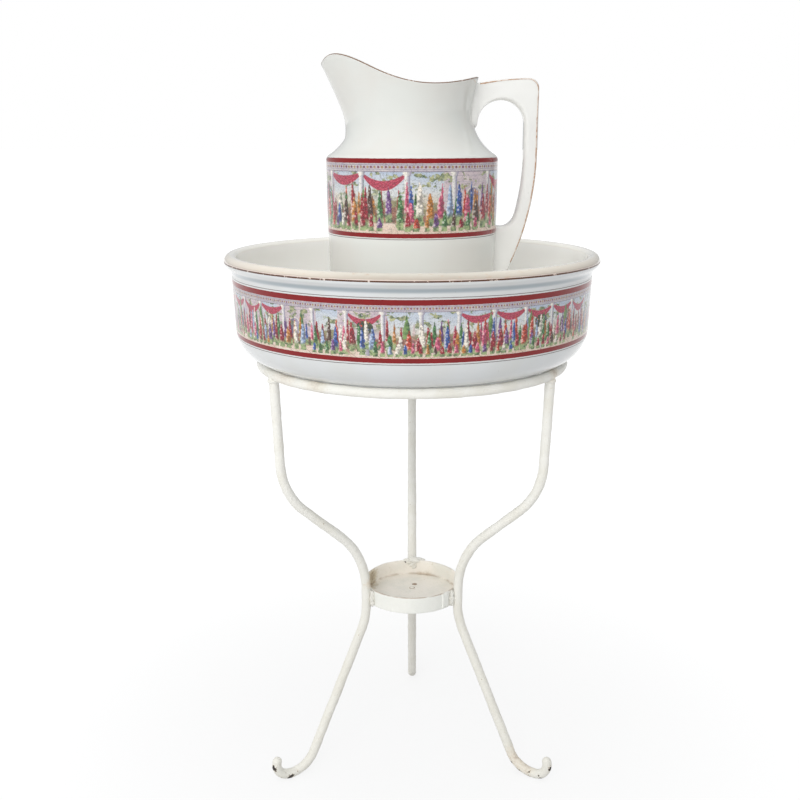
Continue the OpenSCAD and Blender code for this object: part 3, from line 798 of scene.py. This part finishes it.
def lay_frieze(n, p, q):
    """A made-up garden front as an old colour print: columns with crimson swags, cypresses,
    urns and clumps of tall flowers on ochre ground. p and q count in heights of the
    picture."""
    spot = n.vector(p, q, 0.0)
    leaves = n.noise(spot, 13, 4, 0.65)
    tufts = leaves - 0.5

    def cells(width, seed):
        """The number of the cell along the print, and the place in it from its middle."""
        along = p / width + seed
        index = n.math("FLOOR", along)
        return index, (along - index - 0.5) * width

    def oval(x, y, wide, tall, blur=0.12):
        a, b = x / wide, y / tall
        return n.step(a * a + b * b, 1 + blur, 1 - blur)

    def stripes(value, width, blur):
        """1 in the first part, of that width, of each whole step of value."""
        return n.within(n.math("FRACT", value), 0.0, width, blur)

    # Sky, far trees and hills
    drift = n.noise(n.vector(p, q * 2.2, 0.0), 2.4, 4, 0.6) - 0.5
    n.coat = n.ramp(q + drift * 0.6, [(0.3, "#D6C6AE"), (0.6, "#D2D5D6"), (0.95, "#B3BFD2")])
    n.lay(n.over(drift * 0.5 + 0.44, q, 0.03), n.mix(leaves, "#4F6E4E", "#B49E76"))

    # Walls with round-headed doorways
    bay, x = cells(1.42, 0.31)
    wall_here, door_at, _ = n.random(bay)
    wall = n.within(x, -0.66, 0.3) * n.over(wall_here, 0.3) * n.over(q, 0.17)
    joints = stripes(q * 11.0, 0.12, 0.06)
    stone = n.mix(n.noise(spot, 7, 3), "#B09AAE", "#E2D6D0")
    n.lay(wall, n.mix(joints * 0.45, stone, "#8E889C"))
    door_x = x + (door_at * 0.24 + 0.06)
    reach = n.length(door_x, n.most(q - 0.52, 0.0))
    n.lay(wall * n.over(0.155, reach), "#DAD3CB")
    n.lay(wall * n.over(0.13, reach), n.fade(door_x, -0.12, 0.1, "#58506C", "#A79DB4"))

    # Leaves hanging in the bays
    bough = n.noise(n.vector(p, q * 1.4, 9.0), 5.0, 4, 0.6)
    n.lay(n.step(bough, 0.53, 0.57) * n.over(q, 0.52, 0.1),
          n.fade(leaves, 0.35, 0.65, "#46604A", "#B9B98A"))

    # The beam that runs along the top, with its lines and beads
    n.lay(n.over(q, 0.88), n.mix(n.noise(spot, 5, 2), "#D6CDC2", "#A69CB6"))
    for low, high in ((0.876, 0.888), (0.912, 0.918), (0.974, 0.982)):
        n.lay(n.within(q, low, high, 0.004) * 0.75, "#6E6478")
    bead, x = cells(0.058, 0.5)
    n.lay(oval(x, q - 0.946, 0.019, 0.018, 0.35),
          n.fade(n.math("PINGPONG", bead, 1.0), 0.4, 0.6, "#A88A5C", "#7E4656"))

    # Swags between the columns
    swag, x = cells(0.71, 0.31)
    hang, fold, _ = n.random(swag + 7.3)
    dip = 1.0 - n.math("POWER", abs(x) * 2.9, 2.0)
    height = q - (0.85 - dip * (fold * 0.1 + 0.1))
    folds = n.noise(n.vector(p, height * 4.5, 0.0), 24, 2)
    n.lay(n.over(dip * 0.05 + 0.02, abs(height)) * n.over(hang, 0.5),
          n.fade(folds, 0.35, 0.65, "#7A1830", "#D24A66"))

    # Columns, darker to the right
    _, x = cells(0.71, 0.81)
    side, reach = x / 0.04, abs(x)
    flutes = stripes(side * 1.7, 0.3, 0.1)
    shaft = n.fade(side, -0.7, 1.0, "#F3EFE9", "#83809A")
    n.lay(n.over(0.04, reach) * n.within(q, 0.18, 0.84), n.mix(flutes * 0.35, shaft, "#8A8699"))
    for wide, low, high in ((0.056, 0.825, 0.86), (0.066, 0.855, 0.88), (0.056, 0.165, 0.2)):
        n.lay(n.over(wide, reach) * n.within(q, low, high),
              n.fade(side, -0.8, 1.5, "#F1EBE0", "#938CA0"))

    # Cypresses
    tree, x = cells(1.17, 0.66)
    at, size, there = n.random(tree + 3.9)
    x = x + (at - 0.5) * 0.6
    up = n.math("MAXIMUM", (q - 0.15) / (size * 0.22 + 0.5), 0.0, clamp=True)
    half = n.math("POWER", up, 0.45) * (1.0 - up) * 0.19 + tufts * 0.05
    n.lay(n.over(half, abs(x)) * n.over(q, 0.15) * n.over(there, 0.25),
          n.fade(x / 0.12 + tufts * 3.0, -0.8, 0.9, "#7FA35C", "#22472E"))

    # Ground with paving joints, in front of all that stands behind
    sand = n.mix(n.noise(n.vector(p, q * 3.0, 4.0), 6, 4, 0.6), "#C29474", "#F6EFE4")
    slabs = stripes(p * 2.1 + q * 3.2, 0.05, 0.02)
    n.lay(n.over(drift * 0.05 + 0.17, q), n.mix(slabs * 0.6, sand, "#8A6748"))

    # A dark hedge along the back of the ground
    hedge = drift * 0.5 + tufts * 0.1 + 0.34
    n.lay(n.over(hedge, q, 0.02) * n.over(q, 0.15, 0.02),
          n.fade(leaves, 0.35, 0.62, "#454C3E", "#A8705E"))

    # Urns on pedestals, filled with flowers
    petal = n.voronoi(spot, 21.0)
    petal_tone = n.random(n.split(n.voronoi(spot, 21.0, "Color"))[0] * 91.0)[1]
    posy = n.fade(petal, 0.15, 0.55, n.ramp(petal_tone, FLOWER_TONES, "CONSTANT"),
                 "#33402E")
    urn, x = cells(1.93, 0.15)
    at, _, there = n.random(urn + 5.1)
    there = n.over(there, 0.35)
    x = x + (at - 0.5) * 0.9
    stone = oval(x, q - 0.41, 0.085, 0.075)
    for wide, low, high in ((0.085, 0.06, 0.27), (0.105, 0.265, 0.295), (0.1, 0.04, 0.08),
                            (0.025, 0.29, 0.35)):
        stone = n.most(stone, n.over(wide, abs(x)) * n.within(q, low, high))
    n.lay(stone * there, n.fade(x, -0.06, 0.09, "#F0ECE6", "#8B859A"))
    n.lay(oval(x, q - 0.57 - tufts * 0.12, 0.165, 0.13) * there, posy)

    # Clumps of tall flowers, the furthest first
    for width, foot, tall, crowd, seed in ((0.127, 0.16, 0.5, 0.36, 0.0),
                                           (0.151, 0.11, 0.52, 0.4, 0.37),
                                           (0.179, 0.05, 0.46, 0.42, 0.71),
                                           (0.139, 0.03, 0.25, 0.44, 0.13)):
        cell, x = cells(width, seed)
        tone, dye, size = n.random(cell + (31.7 * seed + 2.0))
        clump = n.noise(n.vector(cell * width, 5.0 * seed, 2.0), 1.25, 1)
        x = x + (size - 0.5) * (0.2 * width)
        up = (q - foot) / (tone * (0.5 * tall) + 0.75 * tall)
        half = (n.math("POWER", n.most(1.0 - up * up, 0.0), 0.6)
                * (size * (0.14 * width) + 0.3 * width) + (0.4 - petal) * (0.2 * width))
        dyed = n.ramp(dye, FLOWER_TONES, "CONSTANT")
        turn = x / width + (petal - 0.4) * 0.9
        head = n.fade(turn, -0.3, 0.0, n.mix(0.5, dyed, "#FFF8EC"), dyed)
        head = n.fade(turn, 0.02, 0.32, head, n.mix(0.62, dyed, "#1A1018"))
        stem = n.fade(leaves, 0.35, 0.6, "#41593A", "#A3B57E")
        n.lay(n.over(half, abs(x)) * n.over(up) * n.over(1.0, up)
              * n.step(clump, crowd, crowd + 0.01),
              n.fade(up, 0.32, 0.16, head, stem))

    # Fine ink lines and paper grain
    ink = abs(n.noise(spot, 17, 3, 0.6) - 0.5)
    n.lay(n.step(ink, 0.018, 0.005, 0, 0.6), "#33232C")
    n.lay(n.step(n.noise(spot, 70, 2), 0.4, 0.7, 0, 0.12), "#F4F0EA")


def print_material(name, band, base):
    """The printed frieze between two dark red stripes and pencil-thin lines."""
    n = Nodes(name)
    u, v, _ = n.split(n.add("Attribute", out="Vector", attribute_name="print_at"))
    high = band["top"] - band["bottom"]
    lay_frieze(n, u / high, (v - band["bottom"]) / high)
    spot = n.vector(u, v, 0.0)
    edge = v + (n.noise(spot, 0.25, 2) - 0.5) * 0.5

    def between(low, high):
        return n.within(edge, low, high, 0.12)

    n.coat = n.mix(between(band["bottom"], band["top"]), base, n.coat)
    stripes = n.most(between(band["low"], band["bottom"]), between(band["top"], band["high"]))
    n.lay(stripes, n.mix(n.noise(spot, 0.08, 3), "#8E070D", "#76060B"))
    for place in band["pencil"]:
        n.lay(between(place - 0.35, place + 0.4) * 0.85, "#5C4C4A")
    return n.surface(Roughness=0.15, Specular_IOR_Level=0.3, Coat_Weight=0.1,
                     Coat_Roughness=0.05)


basin_print = print_material("basin_print", BASIN_BAND, "#DBDCDB")
jug_print = print_material("jug_print", JUG_BAND, "#DEDEDA")

make_basin()
basin_strip = [(side_r(z) + PROUD, z)
               for z in np.linspace(BASIN_BAND["pencil"][0] - MARGIN, SIDE_TOP_Z - 0.6, 22)]
# The print's own ends meet behind the left leg
make_bands("basin_print", basin_strip, 6, -240, 60, 191.0, *BASIN, basin_print)
make_bands("basin_gilt", arc(ROLL_MID, ROLL_R + 0.06, -7.5, 5, 5), 4, -135, 72, RIM_R, *BASIN,
           gilt_rim, sink=0.5)


# ---- Jug ----

def bell(x, width):
    return exp(-(x / width) ** 2)


def lip_at(angle):
    """Height of the lip, at an angle in degrees from the handle."""
    c = cos(radians(angle)) - LIP_LOW_COS
    back = max(0, c) / (1 - LIP_LOW_COS)
    front = max(0, -c) / (1 + LIP_LOW_COS)
    return (LIP_H + LIP_BACK * back ** 2 + LIP_SPOUT * front ** 2
            - SPOUT_DIP * bell(angle - 180, DIP_SPREAD))


def pull(angle, h):
    """How far the spout is pulled out at that angle and height."""
    start = NECK_H - SPOUT_DROP
    share = max(0, min(1, (h - start) / (lip_at(angle) - start)))
    spread = SPREAD_LOW + (SPREAD_TOP - SPREAD_LOW) * share
    return SPOUT_REACH * share ** SPOUT_LATENESS * bell(angle - 180, spread)


# Directions round a thin line
ROUND = arc((0, 0), 1, 0, 315, 7)
NECK_MID = (NECK_R + NECK_CURVE, NECK_H)
SHOULDER_REACH = NECK_MID[0] - (JUG_R - SHOULDER_EDGE)
SHOULDER_DROP = sqrt((NECK_CURVE + SHOULDER_EDGE) ** 2 - SHOULDER_REACH ** 2)
SHOULDER_MID = (JUG_R - SHOULDER_EDGE, NECK_H - SHOULDER_DROP)
SHOULDER_SWEEP = degrees(atan2(SHOULDER_DROP, SHOULDER_REACH))


def jug_profile(t):
    """The jug's outline from its base to its neck, drawn in by t."""
    points = arc((JUG_BASE_R - JUG_EDGE_R, JUG_EDGE_R), JUG_EDGE_R - t, -90, 0, 8)
    points += line(points[-1], (JUG_R - t, JUG_FULL), 16)
    points += line(points[-1], (JUG_R - t, SHOULDER_MID[1]), 6)
    points += arc(SHOULDER_MID, SHOULDER_EDGE - t, 0, SHOULDER_SWEEP, 8, 1)
    return points + arc(NECK_MID, NECK_CURVE + t, 180 + SHOULDER_SWEEP, 180, 16, 1)


def jug_point(angle, r, h, up=0.0):
    return polar(r + pull(angle, h), radians(angle), JUG_Z + h + up)


def jug_rows(t, t_lip, angles, count=16):
    """Rings of the jug's skin from its base to its lip, drawn in by t and by t_lip there."""
    rows = [[jug_point(a, r, h) for a in angles] for r, h in jug_profile(t)]
    for k in range(1, count + 1):
        u = k / count
        r = NECK_R + LIP_FLARE * u ** LIP_LATENESS - (t + (t_lip - t) * u)
        rows.append([jug_point(a, r, NECK_H + (lip_at(a) - NECK_H) * u) for a in angles])
    return rows


def make_jug(steps=240):
    angles = [360 * i / steps for i in range(steps)]
    crown = [[jug_point(a, NECK_R + LIP_FLARE - LIP_T / 2 * (1 - c), lip_at(a), LIP_CROWN * s)
              for a in angles] for c, s in arc((0, 0), 1, 30, 150, 4)]
    rows = jug_rows(0, 0, angles) + crown + jug_rows(JUG_T, LIP_T, angles)[::-1]
    verts = [point for row in rows for point in row]
    verts += [(0, 0, rows[0][0][2]), (0, 0, rows[-1][0][2])]
    ob = add_piece("jug_vessel", verts, closed_faces(len(rows), steps), *JUG, jug_glaze)
    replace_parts(ob, "jug_body")


def add_line(name, verts, material):
    """A thin line of gilding from rings with a point for each of ROUND."""
    add_piece(name, verts, loft_faces(len(verts) // len(ROUND), len(ROUND)), *JUG, material)


def make_lip_gilt():
    """The gilt line along the outer edge of the lip, in two halves."""
    line_r = NECK_R + LIP_FLARE - 0.75
    for index in range(2):
        verts = [jug_point(a, line_r + 0.85 * c, lip_at(a), 0.35 + 0.6 * s)
                 for a in np.linspace(index * 180, index * 180 + 180, 121) for c, s in ROUND]
        add_line("jug_gilt_%d" % (index + 1), verts, gilt_lip)


def jug_side(z):
    """Radius of the jug's body at height z above the floor."""
    h = z - JUG_Z
    if h < JUG_FULL:
        return JUG_BASE_R + (JUG_R - JUG_BASE_R) * (h - JUG_EDGE_R) / (JUG_FULL - JUG_EDGE_R)
    if h < SHOULDER_MID[1]:
        return JUG_R
    return SHOULDER_MID[0] + sqrt(SHOULDER_EDGE ** 2 - (h - SHOULDER_MID[1]) ** 2)


make_jug()
make_lip_gilt()
corner_z = JUG_Z + SHOULDER_MID[1]
jug_strip = [(jug_side(z) + PROUD, z)
             for z in (*np.linspace(JUG_BAND["pencil"][0] - MARGIN, corner_z, 18),
                       *np.linspace(corner_z, JUG_BAND["high"] + 0.8, 9)[1:])]
# The print's own ends meet under the handle
make_bands("jug_print", jug_strip, 2, 0, 96, 90.0, *JUG, jug_print)


# ---- Handle ----

def neck_r(h):
    """Outer radius of the jug's neck on the handle's side, at height h."""
    if h < NECK_H:
        return NECK_MID[0] - sqrt(NECK_CURVE ** 2 - (NECK_H - h) ** 2)
    return NECK_R + LIP_FLARE * ((h - NECK_H) / (LIP_H + LIP_BACK - NECK_H)) ** LIP_LATENESS


def handle_outlines():
    """The handle's inner and outer outline seen from the side, from the neck round to the
    foot, as (distance from the jug's axis, height), with as many points each."""
    limb_mid = (HANDLE_OUT - LIMB_R, LIMB_H)
    inner_x, corner_x = HANDLE_OUT - HANDLE_T, HANDLE_OUT - HANDLE_CORNER

    def sweep(h, r=LIMB_R):
        """The angle at which the limb's curve has come down to height h."""
        return -degrees(asin((LIMB_H - h) / r))

    inner = [(ROOT_X - 2, ARCH_H - 4.5), (ROOT_X + 0.6, ARCH_H - 2.6)]
    inner += arc((inner_x - ARCH_R, ARCH_H), ARCH_R, 182, 0, 30)
    outer = [(ROOT_X - 1.5, HANDLE_TOP), (ROOT_X, HANDLE_TOP)]
    outer += line(outer[-1], (corner_x, HANDLE_TOP), 18)
    # The top falls off a little towards the neck
    outer = [(x, h - TOP_FALL * (1 - max(0, (x - ROOT_X) / (corner_x - ROOT_X))) ** 2)
             for x, h in outer]
    outer += arc((corner_x, HANDLE_TOP - HANDLE_CORNER), HANDLE_CORNER, 90, 0, 8, 1)
    for h in (ARCH_H, LIMB_H):
        outer += line(outer[-1], (HANDLE_OUT, h), 5)
    inner += line(inner[-1], (inner_x, LIMB_H), 5)
    gap = sweep(GAP_H + 14, LIMB_R - HANDLE_T)
    inner += arc(limb_mid, LIMB_R - HANDLE_T, 0, gap, 20, 1)
    outer += arc(limb_mid, LIMB_R, 0, gap, 20, 1)
    # Widely rounded lower end of the finger gap, then down inside the wall
    end = inner[-1]
    turn = smooth_line([(end[0] - back, end[1] - down) for back, down in (
        (0, 0), (2.2, 6.0), (6.5, 11.0), (12.5, 13.8), (19.0, 13.4), (end[0] - 86.6, 11.0))], 4)
    inner += turn + line(turn[-1], (84.6, 62), 12)
    outer += arc(limb_mid, LIMB_R, gap, sweep(90), len(turn), 1)
    outer += arc(limb_mid, LIMB_R, sweep(90), sweep(FOOT_H), 12, 1)
    return inner, outer


def handle_section(reach):
    """The handle's section as (distance from the inner edge, sideways), thinner towards the
    outside, and the place of the gilt line on its outer edge."""
    half, thin = HANDLE_W / 2, HANDLE_W / 2 - 1.1
    soft_out, soft_in = min(3.2, 0.45 * reach), min(5.0, 0.45 * reach)
    ring = arc((reach - soft_out, thin - soft_out), soft_out, 0, 90, 6)
    ring += line(ring[-1], (soft_in, half), 8)[:-1]
    ring += arc((soft_in, half - soft_in), soft_in, 90, 180, 6)
    ring += [(s, -w) for s, w in ring[::-1]]
    return ring, (reach - 0.5 * soft_out, thin - 0.13 * soft_out)


def make_handle():
    inner, outer = handle_outlines()
    verts, edges = [], ([], [])
    for index, ((ix, iy), (ox, oy)) in enumerate(zip(inner, outer)):
        reach = hypot(ox - ix, oy - iy)
        dx, dy = (ox - ix) / reach, (oy - iy) / reach
        ring, (edge_s, edge_w) = handle_section(reach)
        for s, w in ring:
            x, h = ix + dx * s, iy + dy * s
            w *= ROOT_FLARE[min(index, len(ROOT_FLARE) - 1)]
            if index == 0:
                # Let into the neck's wall all round
                x = sqrt((neck_r(h) - 1.2) ** 2 - w * w)
            verts.append((x, -w, JUG_Z + h))
        for side, edge in zip((-1, 1), edges):
            edge.append((np.array([ix + dx * edge_s, side * edge_w, JUG_Z + iy + dy * edge_s]),
                         np.array([dx, side, dy]) / sqrt(2)))
    ob = add_piece("jug_handle_limb", verts, loft_faces(len(inner), len(ring)), *JUG,
                   lit_handle_glaze)
    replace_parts(ob, "jug_handle")
    # Worn gilt lines on the outer edges, short of both ends
    for index, edge in enumerate(edges):
        verts = [middle + 0.45 * c * outward + 0.9 * s * outward * (-1, 1, -1)
                 for middle, outward in edge[2:-14] for c, s in ROUND]
        add_line("jug_handle_gilt_%d" % (index + 1), verts, gilt_handle)


make_handle()


# ---- Stage, light and camera ----

SKY_LEAN = (-0.5, -0.35, 0.79)
SKY_LEVEL, SKY_SWING = 0.64, 0.24
# How far the floor reaches
FAR = 80000.0


def make_floor():
    """A floor that shows as a white ground with soft shadows and a painted shadow round the
    stand, and bounces less light.
    """
    n = Nodes("floor")
    away = n.add("VectorMath", [n.place()], "Value", operation="LENGTH")
    # The glow is dimmer near the stand: a painted shadow round its base
    glow = n.add("Emission", {"Strength": n.step(away, 100.0, 1200.0, 0.82, 1.0)})
    shadow = n.add("BsdfDiffuse", [(0.15, 0.15, 0.15, 1)])
    bounce = n.add("BsdfDiffuse", [(0.62, 0.62, 0.62, 1)])
    seen = n.most(*(n.add("LightPath", out="Is %s Ray" % kind)
                    for kind in ("Camera", "Glossy", "Transmission")))
    n.finish(n.add("MixShader",
                   (seen, bounce, n.add("AddShader", (shadow, glow)))))
    corners = [(-FAR, -FAR, 0), (FAR, -FAR, 0), (FAR, FAR, 0), (-FAR, FAR, 0)]
    add_mesh("floor", corners, [(0, 1, 2, 3)], n.owner)


def make_world():
    """White to the camera. For light it is brighter overhead, in front and to the left than
    behind and to the right."""
    n = Nodes("studio", "World")
    scene.world = n.owner
    where = n.add("TexCoord", out="Generated")
    lean = n.add("VectorMath", (where, SKY_LEAN), "Value", operation="DOT_PRODUCT")
    level = n.math("MULTIPLY_ADD", lean, SKY_SWING, SKY_LEVEL, clamp=True)
    sky = n.add("Background", ((0.975, 0.99, 1.0, 1), level))
    plain = n.add("Background", ((1, 1, 1, 1), 1.0))
    seen = n.add("LightPath", out="Is Camera Ray")
    n.finish(n.add("MixShader", (seen, sky, plain)))


def add_lamp(name, place, aim, size, power):
    data = bpy.data.lights.new(name, "AREA")
    data.shape = "RECTANGLE"
    data.size, data.size_y = size
    data.energy = power
    ob = add_object(name, data)
    ob.location = place
    ob.visible_glossy = False
    ob.rotation_euler = (Vector(aim) - Vector(place)).to_track_quat("-Z", "Y").to_euler()


make_floor()
make_world()
add_lamp("front", (-0.45, -2.0, 1.5), (0, 0, 0.5), (1.0, 1.0), 13.5)
add_lamp("top", (0.0, -0.2, 2.4), (0, 0, 0.5), (1.2, 1.2), 6)
add_lamp("left", (-1.5, -1.8, 0.6), (0, 0, 0.35), (1.0, 0.8), 8)

camera = bpy.data.cameras.new("camera")
camera.lens = 46.53
camera.sensor_width = 36.0
camera.shift_x = -0.015
scene.camera = add_object("camera", camera)
scene.camera.location = (0.0, -1.119, 0.7037)
scene.camera.rotation_euler = (radians(75.9), 0.0, 0.0)
scene.view_settings.view_transform = "Standard"
